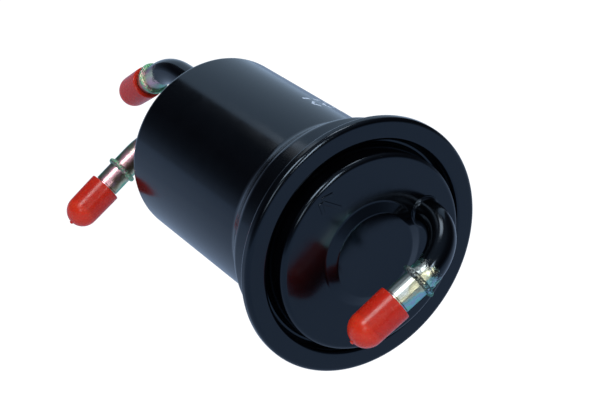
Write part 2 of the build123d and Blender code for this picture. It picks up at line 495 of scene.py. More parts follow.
class FinishBench(NodeBench):
    """Lays out one material's nodes round its shader."""

    def __init__(self, name: str) -> None:
        """Make an empty node material with its shader and output.

        Args:
            name: The material's name.
        """
        self.material = bpy.data.materials.new(name)
        self.material.use_nodes = True
        super().__init__(self.material.node_tree)
        self.nodes.clear()
        self.shader = self.add("BsdfPrincipled", {})
        self.add("OutputMaterial", {"Surface": self.shader.outputs["BSDF"]})
        self.place = self.add("TexCoord", {}).outputs["Object"]

    def set(self, **values: object) -> None:
        """Set the shader's own sockets, with underscores for spaces."""
        for name, value in values.items():
            self.shader.inputs[name.replace("_", " ")].default_value = value

    def join(self, source: bpy.types.NodeSocket, socket: str) -> None:
        """Link a value into one of the shader's sockets."""
        self.links.new(source, self.shader.inputs[socket])

    def noise(
        self, scale: float, detail: float, stretch: Optional[Colour] = None
    ) -> bpy.types.NodeSocket:
        """Add a noise pattern on the piece's own coordinates.

        Args:
            scale: Grains per metre.
            detail: Octaves.
            stretch: Scale on X, Y and Z, or None for an even grain.

        Returns:
            The pattern's value, 0 to 1.
        """
        where = self.place
        if stretch is not None:
            where = self.add("Mapping", {"Vector": where, "Scale": stretch}).outputs["Vector"]
        return self.add("TexNoise", {"Vector": where, "Scale": scale, "Detail": detail}).outputs["Fac"]

    def fade(
        self, value: bpy.types.NodeSocket, low: float, high: float, start: float = 0.0, end: float = 1.0
    ) -> bpy.types.NodeSocket:
        """Turn a value's range into another range, held at its ends.

        Args:
            value: The value.
            low: Value at which the new range starts.
            high: Value at which it ends.
            start: The new range's first value.
            end: The new range's last value.

        Returns:
            The new value.
        """
        limits = {"From Min": low, "From Max": high, "To Min": start, "To Max": end}
        return self.add("MapRange", {"Value": value, **limits}, clamp=True).outputs["Result"]

    def wander(self, grain: Grain) -> bpy.types.NodeSocket:
        """Add a value that goes over a grain's range."""
        noise = self.noise(grain.scale, grain.detail)
        return self.fade(noise, grain.low, grain.high, grain.start, grain.end)

    def specks(self, scale: float, size: float) -> bpy.types.NodeSocket:
        """Add scattered round specks.

        Args:
            scale: Cells per metre.
            size: Share of a cell that its speck fills.

        Returns:
            1 in a speck and 0 outside.
        """
        cells = self.add("TexVoronoi", {"Vector": self.place, "Scale": scale})
        return self.math("LESS_THAN", cells.outputs["Distance"], size)

    def math(self, operation: str, first: object, second: object = 0.0) -> bpy.types.NodeSocket:
        """Add a sum, product or comparison of two values.

        Args:
            operation: Its name in Blender.
            first: A number or a socket.
            second: A number or a socket, where the operation takes two.

        Returns:
            The result.
        """
        return self.add("Math", {0: first, 1: second}, operation=operation).outputs[0]

    def reach(self, point: Vector, way: Vector) -> bpy.types.NodeSocket:
        """Add the distance from a point along a direction.

        Args:
            point: The point.
            way: Unit vector of the direction.

        Returns:
            The distance in metres.
        """
        shift = self.add("VectorMath", {0: self.place, 1: tuple(point)}, operation="SUBTRACT")
        inputs = {0: shift.outputs["Vector"], 1: tuple(way)}
        return self.add("VectorMath", inputs, operation="DOT_PRODUCT").outputs["Value"]

    def bump(self, height: bpy.types.NodeSocket, distance: float) -> None:
        """Raise the surface by a height pattern, on top of any bump that is there.

        Args:
            height: The pattern, 0 to 1.
            distance: How far 1 stands out, in metres.
        """
        node = self.add("Bump", {"Height": height, "Distance": distance, "Strength": 1.0})
        normal = self.shader.inputs["Normal"]
        if normal.is_linked:
            self.links.new(normal.links[0].from_socket, node.inputs["Normal"])
        self.links.new(node.outputs["Normal"], normal)


@dataclass(frozen=True)
class GlossEnamel:
    """Stoved black enamel, with a little orange peel and dust.

    Attributes:
        name: The material's name.
        dark: Colour of the deepest black.
        dusty: Colour where fine dust lies.
        tint: Tint of its reflections when seen face on.
        roughness: Its average roughness.
        smoother: How far the roughness goes below the average.
        rougher: How far it goes above the average.
        cloud: Pattern of the dusty parts.
        haze: Pattern of the roughness.
        peel: Pattern of the orange peel.
        peel_depth: Depth of the orange peel.
        dust_scale: Dust specks per metre.
        dust_size: Share of its cell that a speck fills.
        dust_height: How far a speck stands out.
    """

    name: str = "gloss_enamel"
    dark: Colour = (0.0004, 0.0005, 0.0009)
    dusty: Colour = (0.0010, 0.0012, 0.0019)
    tint: Colour = (0.62, 0.80, 1.0)
    roughness: float = 0.155
    smoother: float = 0.025
    rougher: float = 0.03
    cloud: Grain = Grain(60.0, 4.0, 0.35, 0.75)
    haze: Grain = Grain(220.0, 5.0)
    peel: Grain = Grain(420.0, 2.0)
    peel_depth: float = 0.004 * MM
    dust_scale: float = 900.0
    dust_size: float = 0.035
    dust_height: float = 0.02 * MM

    def build(self) -> bpy.types.Material:
        """Make the material.

        Returns:
            The new material.
        """
        bench = FinishBench(self.name)
        bench.set(IOR=1.5, Specular_Tint=(*self.tint, 1.0))
        stops = [(self.cloud.low, self.dark), (self.cloud.high, self.dusty)]
        bench.join(bench.ramp(bench.noise(self.cloud.scale, self.cloud.detail), stops), "Base Color")
        haze = replace(self.haze, start=self.roughness - self.smoother, end=self.roughness + self.rougher)
        bench.join(bench.wander(haze), "Roughness")
        bench.bump(bench.noise(self.peel.scale, self.peel.detail), self.peel_depth)
        bench.bump(bench.specks(self.dust_scale, self.dust_size), self.dust_height)
        return bench.material


@dataclass(frozen=True)
class ZincPlate:
    """Yellow-passivated zinc on a steel pipe, painted over from its foot.

    Attributes:
        name: The material's name.
        point: A point on the spigot's axis, the corner of the bend.
        way: Along the spigot.
        side: Across the spigot, where the colour bands start.
        bands: Colours round the pipe, by turn from 0 to 1.
        paint_end: How far from the corner the black paint reaches.
        bead_at: Where the bead is, from the corner.
        bead_cover: How far the bead's own tone covers the bands, 0 to 1.
        bead_tone: The bead's own tone.
        enamel: The paint that covers it.
        bead_reach: Half the width of the bead's tone.
        bead_fade: Where that tone has gone.
        bead_crust: How far the tone's crust stands out.
        crust_roughness: Roughness that the crust adds.
        grime_tone: Colour of the grime in the grain.
        paint_fade: Half the width over which the paint's edge fades.
        paint_step: How far the bare metal lies below the paint.
        bands_sway: Sway of the bands round the pipe, in radians.
        lumps: Pattern of the bead's crust.
        drift: Slow sway of the paint's edge, in metres.
        spray: Fine spray at the paint's edge, in metres.
        grain: Noise of the plating, as grime in it.
        worn: The same noise, as roughness.
        relief: Depth of the grain.
    """

    name: str
    point: Vector
    way: Vector
    side: Vector
    bands: tuple[tuple[float, Colour], ...]
    paint_end: float
    bead_at: float
    bead_cover: float
    bead_tone: Colour
    enamel: GlossEnamel
    bead_reach: float = 0.75 * MM
    bead_fade: float = 1.0 * MM
    bead_crust: float = 0.14 * MM
    crust_roughness: float = 0.2
    grime_tone: Colour = (0.10, 0.11, 0.09)
    paint_fade: float = 0.25 * MM
    paint_step: float = 0.004 * MM
    bands_sway: Grain = Grain(330.0, 3.0, 0.3, 0.7, -0.45, 0.45)
    lumps: Grain = Grain(1700.0, 3.0, 0.44, 0.56, 1.0, 0.1)
    drift: Grain = Grain(520.0, 2.0, 0.25, 0.75, -1.6 * MM, 1.6 * MM)
    spray: Grain = Grain(7600.0, 2.0, 0.3, 0.7, -1.9 * MM, 1.9 * MM)
    grain: Grain = Grain(5200.0, 3.0, 0.54, 0.66, 0.0, 0.4)
    worn: Grain = Grain(5200.0, 3.0, 0.35, 0.7, 0.28, 0.42)
    relief: float = 0.0012 * MM

    def sheen(self, bench: FinishBench) -> bpy.types.NodeSocket:
        """Lay the colour bands round the pipe.

        Args:
            bench: The material's nodes.

        Returns:
            Their colour.
        """
        across = self.way.cross(self.side).normalized()
        turn = bench.math("ARCTAN2", bench.reach(self.point, across), bench.reach(self.point, self.side))
        swayed = bench.math("ADD", turn, bench.wander(self.bands_sway))
        return bench.ramp(bench.fade(swayed, -math.pi, math.pi), self.bands)

    def crust(self, bench: FinishBench, along: bpy.types.NodeSocket) -> bpy.types.NodeSocket:
        """Work out how much of the bead's crust covers a spot.

        Args:
            bench: The material's nodes.
            along: Distance along the spigot.

        Returns:
            0 where there is none, up to 1.
        """
        off_bead = bench.math("ABSOLUTE", bench.math("SUBTRACT", along, self.bead_at))
        on_bead = bench.fade(off_bead, self.bead_reach, self.bead_fade, self.bead_cover, 0.0)
        return bench.math("MULTIPLY", on_bead, bench.wander(self.lumps))

    def bare(self, bench: FinishBench, along: bpy.types.NodeSocket) -> bpy.types.NodeSocket:
        """Work out where the paint ends.

        Args:
            bench: The material's nodes.
            along: Distance along the spigot.

        Returns:
            1 on bare plating and 0 under paint.
        """
        swayed = bench.math("ADD", along, bench.wander(self.drift))
        edge = bench.math("ADD", swayed, bench.wander(self.spray))
        return bench.fade(edge, self.paint_end - self.paint_fade, self.paint_end + self.paint_fade)

    def build(self) -> bpy.types.Material:
        """Make the material.

        Returns:
            The new material.
        """
        bench = FinishBench(self.name)
        bench.set(IOR=1.5, Specular_Tint=(*self.enamel.tint, 1.0))
        noise = bench.noise(self.grain.scale, self.grain.detail)
        grain, worn = self.grain, self.worn
        grime = bench.fade(noise, grain.low, grain.high, grain.start, grain.end)
        along = bench.reach(self.point, self.way)
        crust = self.crust(bench, along)
        bare = self.bare(bench, along)
        plate = bench.mix(crust, bench.mix(grime, self.sheen(bench), self.grime_tone), self.bead_tone)
        bench.join(bench.mix(bare, self.enamel.dark, plate), "Base Color")
        bench.join(bare, "Metallic")
        crusted = bench.math("MULTIPLY", crust, self.crust_roughness)
        dull = bench.math("ADD", bench.fade(noise, worn.low, worn.high, worn.start, worn.end), crusted)
        rough = bench.add("Mix", {0: bare, 2: self.enamel.roughness, 3: dull})
        bench.join(rough.outputs[0], "Roughness")
        bench.bump(noise, self.relief)
        bench.bump(crust, self.bead_crust)
        bench.bump(bare, -self.paint_step)
        return bench.material


@dataclass(frozen=True)
class CapVinyl:
    """Soft dip-moulded vinyl, with painted light and shade: paler over the hollow tip, darker where the pipe
    stands behind its wall, and a painted shadow at the pipe's end.

    Attributes:
        name: The material's name.
        mouth: Middle of the cap's mouth.
        way: From the mouth to the tip.
        filled: How far in the pipe reaches.
        shaded_over_pipe: Colour over the pipe, painted shade of the pipe behind the wall.
        lit_over_hollow: Colour over the hollow tip, painted light that comes through the wall.
        rim: Colour of the painted shadow that the pipe's end throws on the wall.
        glow: Share of light that goes through the skin.
        glow_ratio: How far red, green and blue go through it.
        glow_depth: How far light goes in.
        edge_fade: Half the width over which the colour changes at the pipe's end.
        shadow_near: Half the width of the shadow's core.
        shadow_far: Where the shadow has gone.
        shadow_depth: Share of the shadow's colour at its core.
        sway: Sway of the colour's edge, in metres.
        streak: Pattern of paler streaks.
        gloss: Pattern of the roughness.
        skin: Pattern of the skin's unevenness.
        skin_depth: Depth of that unevenness.
    """

    name: str
    mouth: Vector
    way: Vector
    filled: float
    shaded_over_pipe: Colour = (0.46, 0.017, 0.007)
    lit_over_hollow: Colour = (0.58, 0.032, 0.011)
    rim: Colour = (0.33, 0.010, 0.005)
    glow: float = 0.5
    glow_ratio: Colour = (1.0, 0.16, 0.07)
    glow_depth: float = 1.6 * MM
    edge_fade: float = 1.6 * MM
    shadow_near: float = 0.2 * MM
    shadow_far: float = 0.9 * MM
    shadow_depth: float = 0.35
    sway: Grain = Grain(150.0, 2.0, 0.2, 0.8, -0.8 * MM, 0.8 * MM)
    streak: Grain = Grain(420.0, 3.0, 0.35, 0.65, 0.0, 0.22)
    gloss: Grain = Grain(600.0, 2.0, 0.3, 0.7, 0.22, 0.30)
    skin: Grain = Grain(300.0, 1.0)
    skin_depth: float = 0.015 * MM

    def build(self) -> bpy.types.Material:
        """Make the material.

        Returns:
            The new material.
        """
        bench = FinishBench(self.name)
        bench.set(
            IOR=1.42,
            Subsurface_Weight=self.glow,
            Subsurface_Radius=self.glow_ratio,
            Subsurface_Scale=self.glow_depth,
        )
        # Painted light and shade: the wall is darker over the pipe, paler over the hollow tip, with a painted
        # shadow ring at the pipe's end.
        along = bench.math("ADD", bench.reach(self.mouth, self.way), bench.wander(self.sway))
        hollow = bench.fade(along, self.filled - self.edge_fade, self.filled + self.edge_fade)
        wall = bench.mix(hollow, self.shaded_over_pipe, self.lit_over_hollow)
        off_rim = bench.math("ABSOLUTE", bench.math("SUBTRACT", along, self.filled))
        shadow = bench.fade(off_rim, self.shadow_near, self.shadow_far, self.shadow_depth, 0.0)
        wall = bench.mix(shadow, wall, self.rim)
        bench.join(bench.mix(bench.wander(self.streak), wall, self.lit_over_hollow), "Base Color")
        bench.join(bench.wander(self.gloss), "Roughness")
        bench.bump(bench.noise(self.skin.scale, self.skin.detail), self.skin_depth)
        return bench.material


@dataclass(frozen=True)
class PlainFinish:
    """A finish of two colours with its own grain, for the pieces inside and for print.

    Attributes:
        name: The material's name.
        low: Colour in the grain's hollows.
        high: Colour on its high spots.
        scale: Grains per metre.
        roughness: Lowest and highest roughness.
        relief: Depth of the grain, in metres.
        stretch: Scale of the grain on X, Y and Z.
        metallic: 1 for bare metal.
        detail: Octaves of the grain.
        hollow: Noise in the grain's hollows.
        peak: Noise on its high spots.
    """

    name: str
    low: Colour
    high: Colour
    scale: float
    roughness: tuple[float, float]
    relief: float
    stretch: Colour = (1.0, 1.0, 1.0)
    metallic: float = 0.0
    detail: float = 5.0
    hollow: float = 0.3
    peak: float = 0.7

    def build(self) -> bpy.types.Material:
        """Make the material.

        Returns:
            The new material.
        """
        bench = FinishBench(self.name)
        bench.set(Metallic=self.metallic)
        grain = bench.noise(self.scale, self.detail, self.stretch)
        stops = [(self.hollow, self.low), (self.peak, self.high)]
        bench.join(bench.ramp(grain, stops), "Base Color")
        bench.join(bench.fade(grain, self.hollow, self.peak, *self.roughness), "Roughness")
        bench.bump(grain, self.relief)
        return bench.material


ALONG_CAN = (0.08, 1.0, 1.0)

INNER_FINISHES: dict[Slot, PlainFinish] = {
    Slot.FILTER_PAPER: PlainFinish(
        "filter_paper", (0.60, 0.46, 0.24), (0.80, 0.68, 0.44), 900.0, (0.8, 0.95), 0.05 * MM
    ),
    Slot.TINPLATE: PlainFinish(
        "tinplate", (0.52, 0.52, 0.50), (0.74, 0.74, 0.72), 500.0, (0.22, 0.38), 0.01 * MM, ALONG_CAN, 1.0
    ),
    Slot.POTTING: PlainFinish(
        "potting", (0.50, 0.38, 0.20), (0.68, 0.55, 0.34), 350.0, (0.45, 0.6), 0.06 * MM
    ),
    Slot.SEAL_RUBBER: PlainFinish(
        "seal_rubber", (0.012, 0.012, 0.012), (0.03, 0.03, 0.03), 1200.0, (0.55, 0.75), 0.02 * MM
    ),
    Slot.SEALING_COMPOUND: PlainFinish(
        "sealing_compound", (0.06, 0.05, 0.045), (0.13, 0.12, 0.10), 700.0, (0.5, 0.7), 0.05 * MM
    ),
    Slot.SPRING_STEEL: PlainFinish(
        "spring_steel", (0.24, 0.24, 0.26), (0.44, 0.44, 0.46), 800.0, (0.25, 0.42), 0.01 * MM, ALONG_CAN, 1.0
    ),
}

MARK_INK = PlainFinish(
    "mark_ink", (0.42, 0.52, 0.68), (0.56, 0.66, 0.82), 1500.0, (0.35, 0.5), 0.002 * MM
)


# ---------------------------------------------------------------- the body
@dataclass
class FilterBody:
    """The drawn can and the end cover that is rolled over its mouth.

    Each field is an outside size of the sheets in metres, and the places along X come from
    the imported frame.
    """

    can_radius: float = 29.0 * MM
    can_wall: float = 0.8 * MM
    can_length: float = 83.6 * MM
    can_corner: float = 3.0 * MM
    collar_radius: float = 33.0 * MM
    collar_length: float = 14.3 * MM
    shoulder_length: float = 6.7 * MM
    shoulder_foot_round: float = 6.0 * MM
    shoulder_top_round: float = 4.0 * MM
    cover_wall: float = 1.0 * MM
    compound_height: float = 0.95 * MM
    seam_radius: float = 37.5 * MM
    seam_round: float = 1.4 * MM
    seam_hem_width: float = 3.2 * MM
    lip_radius: float = 36.05 * MM
    dome_radius: float = 28.9 * MM
    dome_height: float = 3.75 * MM
    dome_corner: float = 1.5 * MM
    groove_radius: float = 31.15 * MM
    groove_depth: float = 4.5 * MM
    groove_floor_round: float = 1.05 * MM
    groove_edge_round: float = 1.1 * MM
    boss_root_radius: float = 15.4 * MM
    boss_root_round: float = 2.0 * MM
    boss_crest_radius: float = 12.3 * MM
    boss_crest_round: float = 1.6 * MM
    boss_height: float = 1.1 * MM
    boss_dish: float = 0.35 * MM
    pole_radius: float = 0.6 * MM
    dish_ring_gap: float = 1.6 * MM
    dish_rings: int = 7
    blind_disc_radius: float = 8.0 * MM
    cover_inside: float = 30.0 * MM

    def __post_init__(self) -> None:
        """Take the places of the seam's front and the blind end from the frame."""
        self.far_x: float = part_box("can")[0].x
        self.front_x: float = self.far_x + self.can_length
        self.plateau_x: float = self.front_x + self.dome_height
        self.lip_x: float = self.front_x - self.cover_wall - self.compound_height
        self.lathe = Lathe(CENTRE, AXIS)

    def build_can(self) -> bpy.types.Object:
        """Turn the can from its blind end to its turned-out lip.

        Returns:
            The can.
        """
        collar_x = self.front_x - self.collar_length
        wall_end = collar_x - self.shoulder_length
        stations = [
            Station(self.far_x, self.blind_disc_radius),
            Station(self.far_x, self.can_radius, self.can_corner, steps=12),
            Station(wall_end, self.can_radius, self.shoulder_foot_round, steps=10),
            Station(collar_x, self.collar_radius, self.shoulder_top_round, steps=10),
            Station(self.lip_x - self.can_wall, self.collar_radius, self.can_wall, steps=6),
            Station(self.lip_x - self.can_wall, self.lip_radius),
        ]
        can = self.lathe.skin("can_shell", stations, close_first=True)
        turn_outwards(can, CENTRE)
        apply_modifier(can, "SOLIDIFY", thickness=self.can_wall, offset=-1.0, use_even_offset=True)
        return can

    def dish(self, radius: float) -> float:
        """Return the X of the dished boss at a radius."""
        share = 1.0 - (radius / self.boss_crest_radius) ** 2
        return self.plateau_x + self.boss_height - self.boss_dish * share

    def build_cover(self) -> bpy.types.Object:
        """Turn the cover from the middle of its boss to the hem behind the seam.

        Returns:
            The cover.
        """
        hem_x = self.lip_x - self.can_wall - self.cover_wall
        groove_x = self.front_x - self.groove_depth
        dish_radii = [self.pole_radius + ring * self.dish_ring_gap for ring in range(self.dish_rings)]
        stations = [Station(self.dish(radius), radius) for radius in dish_radii]
        stations += [
            Station(
                self.plateau_x + self.boss_height, self.boss_crest_radius, self.boss_crest_round, steps=10
            ),
            Station(self.plateau_x, self.boss_root_radius, self.boss_root_round, steps=10),
            Station(self.plateau_x, self.dome_radius, self.dome_corner, steps=12),
            Station(groove_x, self.dome_radius, self.groove_floor_round),
            Station(groove_x, self.groove_radius, self.groove_floor_round),
            Station(self.front_x, self.groove_radius, self.groove_edge_round),
            Station(self.front_x, self.seam_radius, self.seam_round, steps=10),
            Station(hem_x, self.seam_radius, self.seam_round, steps=10),
            Station(hem_x, self.seam_radius - self.seam_hem_width),
        ]
        cover = self.lathe.skin("cover_pressing", stations, close_first=True)
        turn_outwards(cover, AXIS * (self.front_x - self.cover_inside))
        apply_modifier(cover, "SOLIDIFY", thickness=self.cover_wall, offset=-1.0, use_even_offset=True)
        return cover


# ---------------------------------------------------------------- pipes and caps
@dataclass
class BrazeCollar:
    """The braze fillet round a pipe's foot.

    Attributes:
        name: Name of its pipe.
        foot: Where the pipe's axis meets the sheet.
        out: Unit vector out of the sheet.
        pipe_radius: The pipe's outside radius.
        sides: How many sides its rings have.
        width: How far it spreads from the pipe.
        height: How far it climbs the pipe.
        sunk: How far it goes into the sheet, and how high its rim stands.
        rim_round: Round of its rim.
        slope_rise: How far the fillet's foot lies above the rim.
        slope_round: Round of the fillet's foot, and its distance in from the rim.
        crest_out: How far its crest stands out from the pipe.
        crest_round: Round of its crest.
        crest_tail: How far it runs on above its crest, into the pipe.
        overlap: How far it goes into the pipe's wall.
    """

    name: str
    foot: Vector
    out: Vector
    pipe_radius: float
    sides: int
    width: float = 0.75 * MM
    height: float = 0.8 * MM
    sunk: float = 0.3 * MM
    rim_round: float = 0.2 * MM
    slope_rise: float = 0.04 * MM
    slope_round: float = 0.4 * MM
    crest_out: float = 0.05 * MM
    crest_round: float = 0.3 * MM
    crest_tail: float = 0.25 * MM
    overlap: float = 0.1 * MM

    def build(self) -> bpy.types.Object:
        """Turn the collar.

        Returns:
            The collar.
        """
        lathe = Lathe(self.foot, self.out, self.sides)
        outer = self.pipe_radius + self.width
        inner = self.pipe_radius - self.overlap
        stations = [
            Station(-self.sunk, outer),
            Station(self.sunk, outer, self.rim_round, steps=5),
            Station(self.sunk + self.slope_rise, outer - self.slope_round, self.slope_round, steps=6),
            Station(self.height, self.pipe_radius + self.crest_out, self.crest_round, steps=4),
            Station(self.height + self.crest_tail, inner),
            Station(-self.sunk, inner),
        ]
        braze = lathe.skin(f"{self.name}_braze_collar", stations)
        edit_all(braze)
        ends = (stations[0], stations[-1])
        select_edges(braze, lambda edge: any(lathe.ring_edge(edge, end) for end in ends))
        bpy.ops.mesh.bridge_edge_loops()
        turn_outwards(braze, self.foot)
        fair(braze, angle=50.0)
        return braze


@dataclass
class DustCap:
    """The dip-moulded cap that is pushed over a pipe's end.

    Attributes:
        name: Name of its pipe.
        mouth: Middle of its mouth.
        way: From its mouth to its tip.
        bore: Radius of its bore.
        sides: How many sides its rings have.
        wall: Thickness of its barrel.
        length: From its mouth to its tip.
        tip_wall: Thickness of its tip.
        mouth_inner_round: Round of the mouth's inner edge.
        mouth_outer_round: Round of the mouth's outer edge.
        bore_pole: Radius of the small disc that closes the bore.
        bore_least: Least radius of the bore's other rings.
        bore_steps: How many faces the bore's round end gets.
        barrel_rings: How many rings the barrel has.
        barrel_taper: How much smaller each of them is than the one before.
        tip_steps: How many faces a whole quarter of the tip would get.
        pip_root: Radius on the tip where the moulding pip starts.
        pip: The moulding pip's rings, measured along from the tip.
    """

    name: str
    mouth: Vector
    way: Vector
    bore: float
    sides: int
    wall: float = 1.4 * MM
    length: float = 15.6 * MM
    tip_wall: float = 1.6 * MM
    mouth_inner_round: float = 0.25 * MM
    mouth_outer_round: float = 0.3 * MM
    bore_pole: float = 0.3 * MM
    bore_least: float = 0.35 * MM
    bore_steps: int = 12
    barrel_rings: int = 5
    barrel_taper: float = 0.035 * MM
    tip_steps: int = 16
    pip_root: float = 0.9 * MM
    pip: tuple[Station, ...] = (
        Station(-0.05 * MM, 0.62 * MM, 0.1 * MM, 3),
        Station(0.3 * MM, 0.55 * MM, 0.2 * MM, 3),
        Station(0.45 * MM, 0.2 * MM),
    )

    def bore_stations(self) -> list[Station]:
        """Place the bore's rings.

        Returns:
            The rings, from the bore's round end to the mouth.
        """
        top = self.length - self.tip_wall
        rings = [Station(top, self.bore_pole)]
        for step in range(1, self.bore_steps + 1):
            lean = math.pi / 2 * step / self.bore_steps
            radius = max(self.bore_least, self.bore * math.sin(lean))
            rings.append(Station(top - self.bore + self.bore * math.cos(lean), radius))
        rings.append(Station(0.0, self.bore, self.mouth_inner_round, steps=4))
        return rings

    def outer_stations(self) -> list[Station]:
        """Place the outer rings.

        Returns:
            The rings, from the mouth up the barrel and over the tip.
        """
        outer = self.bore + self.wall
        barrel = self.length - outer
        rings = [Station(0.0, outer, self.mouth_outer_round, steps=5)]
        for ring in range(self.barrel_rings):
            share = (ring + 1) / self.barrel_rings
            rings.append(Station(barrel * share, outer - self.barrel_taper * ring))
        for step in range(1, self.tip_steps):
            lean = math.pi / 2 * step / self.tip_steps
            radius = rings[self.barrel_rings].radius * math.cos(lean)
            if radius < self.pip_root:
                break
            rings.append(Station(barrel + outer * math.sin(lean), radius))
        return rings

    def build(self) -> bpy.types.Object:
        """Turn the cap: its bore, barrel, round end and moulding pip.

        Returns:
            The cap.
        """
        pip = [replace(ring, along=self.length + ring.along) for ring in self.pip]
        stations = self.bore_stations() + self.outer_stations() + pip
        lathe = Lathe(self.mouth, self.way, self.sides)
        cap = lathe.skin(f"{self.name}_dust_cap_vinyl", stations, close_first=True, close_last=True)
        turn_outwards(cap, self.mouth + self.way * (self.length - self.tip_wall / 2))
        fair(cap, angle=45.0)
        return cap


@dataclass
class HosePipe:
    """One bent hose pipe, with the places of its braze collar and its dust cap.

    Attributes:
        name: The pipe's name in the frame.
        side: 1 on the cover, -1 on the blind end.
        foot_radius: Distance of its foot from the can's axis.
        foot_angle: The foot's angle from +Y towards +Z, in degrees.
        heading: The way it turns to after the bend, in degrees.
        rise: Height of the bend's corner above the sheet.
        bend: The bend's angle, in degrees.
        bend_radius: The bend's radius to the pipe's middle.
        bead_at: The bead's place, from the corner along the spigot.
        bead_height: How far the bead stands out of the wall.
        wall_end: End of the full-size wall, from the corner.
        paint_end: How far the paint reaches, from the corner.
        bands: Colours of its plating.
        bead_tone: The bead's own tone.
        bead_wear: How uneven the bead is, in metres.
        radius: Its outside radius.
        bead_cover: How far the bead's tone covers the bands, 0 to 1.
        wall: Its wall.
        foot_depth: How far it reaches in behind the sheet's outside.
        bead_width: The bead's width.
        bead_steps: How many faces the bead has across.
        bead_fullness: Power of the bead's profile: below 1 it is fuller than a sine.
        bead_edge: Height on the bead from which it is uneven.
        lead_in_step: How much smaller its end is in radius.
        lead_in_length: Length of that end.
        chamfer: Chamfer of its end.
        cap_clearance: Between its end and the cap's bore.
        cap_mouth_gap: From the end of the full-size wall to the cap's mouth.
        bend_step: The bend's angle for each face, in degrees.
        bend_least: Least number of faces in the bend.
        sides: How many sides its rings have.
    """

    name: str
    side: int
    foot_radius: float
    foot_angle: float
    heading: float
    rise: float
    bend: float
    bend_radius: float
    bead_at: float
    bead_height: float
    wall_end: float
    paint_end: float
    bands: tuple[tuple[float, Colour], ...]
    bead_tone: Colour
    bead_wear: float
    radius: float = 4.0 * MM
    bead_cover: float = 0.9
    wall: float = 1.0 * MM
    foot_depth: float = 3.0 * MM
    bead_width: float = 1.5 * MM
    bead_steps: int = 12
    bead_fullness: float = 0.6
    bead_edge: float = 0.2 * MM
    lead_in_step: float = 0.2 * MM
    lead_in_length: float = 9.5 * MM
    chamfer: float = 0.3 * MM
    cap_clearance: float = 0.05 * MM
    cap_mouth_gap: float = 0.4 * MM
    bend_step: float = 2.5
    bend_least: int = 10
    sides: int = 96

    def place(self, sheet_x: float) -> None:
        """Work out where the pipe runs.

        Args:
            sheet_x: X of the sheet that it stands on.
        """
        turn = math.radians(self.heading)
        spot = math.radians(self.foot_angle)
        bend = math.radians(self.bend)
        self.out = AXIS * self.side
        self.across = Vector((0.0, math.cos(turn), math.sin(turn)))
        self.foot = Vector((sheet_x, self.foot_radius * math.cos(spot), self.foot_radius * math.sin(spot)))
        self.corner = self.foot + self.out * self.rise
        self.way = (self.out * math.cos(bend) + self.across * math.sin(bend)).normalized()
        self.tangent = self.bend_radius * math.tan(bend / 2)

    def bead_stations(self) -> list[Station]:
        """Place the rings of the rolled hose bead.

        Returns:
            The rings, from the bend's side to the end's.
        """
        rings = []
        for step in range(self.bead_steps + 1):
            lean = math.pi * step / self.bead_steps
            along = self.bead_at - self.bead_width / 2 * math.cos(lean)
            height = self.bead_height * math.sin(lean) ** self.bead_fullness
            rings.append(Station(along, self.radius + height))
        return rings

    def spigot_stations(self) -> list[Station]:
        """Place the rings of the straight end.

        Returns:
            The rings, from the bend over the bead to the pipe's end.
        """
        lead_in = self.radius - self.lead_in_step
        end = self.wall_end + self.lead_in_length
        return [
            Station(self.tangent, self.radius),
            Station(self.bead_at - self.bead_width, self.radius),
            *self.bead_stations(),
            Station(self.wall_end - self.lead_in_step, self.radius),
            Station(self.wall_end, lead_in),
            Station(end - self.chamfer, lead_in),
            Station(end, lead_in - self.chamfer / 2),
        ]

    def build(self) -> bpy.types.Object:
        """Draw the pipe out of its foot, round its bend and along its spigot.

        Returns:
            The pipe.
        """
        lathe = Lathe(self.foot, self.out, self.sides)
        first = Station(-self.foot_depth, self.radius)
        bend_start = Station(self.rise - self.tangent, self.radius)
        pipe = lathe.start(f"{self.name}_hose_pipe", first)
        lathe.extend(bend_start, first)
        bpy.ops.mesh.spin(
            steps=max(self.bend_least, int(self.bend / self.bend_step)),
            angle=SPIN_SIGN * math.radians(self.bend),
            center=self.foot + self.out * bend_start.along + self.across * self.bend_radius,
            axis=self.out.cross(self.across),
        )
        spigot = Lathe(self.corner, self.way, self.sides)
        stations = self.spigot_stations()
        for last, station in zip(stations, stations[1:]):
            spigot.extend(station, last)
        self.roughen_bead(pipe)
        turn_outwards(pipe, self.foot.lerp(self.corner, 0.5))
        apply_modifier(pipe, "SOLIDIFY", thickness=self.wall, offset=-1.0, use_even_offset=False)
        fair(pipe, angle=40.0)
        return pipe

    def roughen_bead(self, pipe: bpy.types.Object) -> None:
        """Make the rolled bead a little uneven, as a cold-formed one is.

        Args:
            pipe: The pipe, open in edit mode.
        """

        def on_bead(edge: bmesh.types.BMEdge) -> bool:
            """Say whether an edge is on the bead.

            Args:
                edge: The edge.

            Returns:
                True when its middle is on the bead.
            """
            middle = (edge.verts[0].co + edge.verts[1].co) / 2 - self.corner
            along = middle.dot(self.way)
            out = (middle - self.way * along).length
            return abs(along - self.bead_at) < self.bead_width / 2 and out > self.radius + self.bead_edge

        select_edges(pipe, on_bead)
        bpy.ops.transform.vertex_random(offset=self.bead_wear, uniform=0.2, normal=0.6, seed=5)

    def plating(self, enamel: GlossEnamel) -> ZincPlate:
        """Describe the pipe's finish.

        Args:
            enamel: The paint on its foot and bend.

        Returns:
            The finish, still to be built.
        """
        return ZincPlate(
            name=f"{self.name}_plating",
            point=self.corner,
            way=self.way,
            side=self.across.cross(self.way).normalized(),
            bands=self.bands,
            paint_end=self.paint_end,
            bead_at=self.bead_at,
            bead_cover=self.bead_cover,
            bead_tone=self.bead_tone,
            enamel=enamel,
        )

    def braze(self) -> BrazeCollar:
        """Return the collar round the pipe's foot."""
        return BrazeCollar(self.name, self.foot, self.out, self.radius, self.sides)

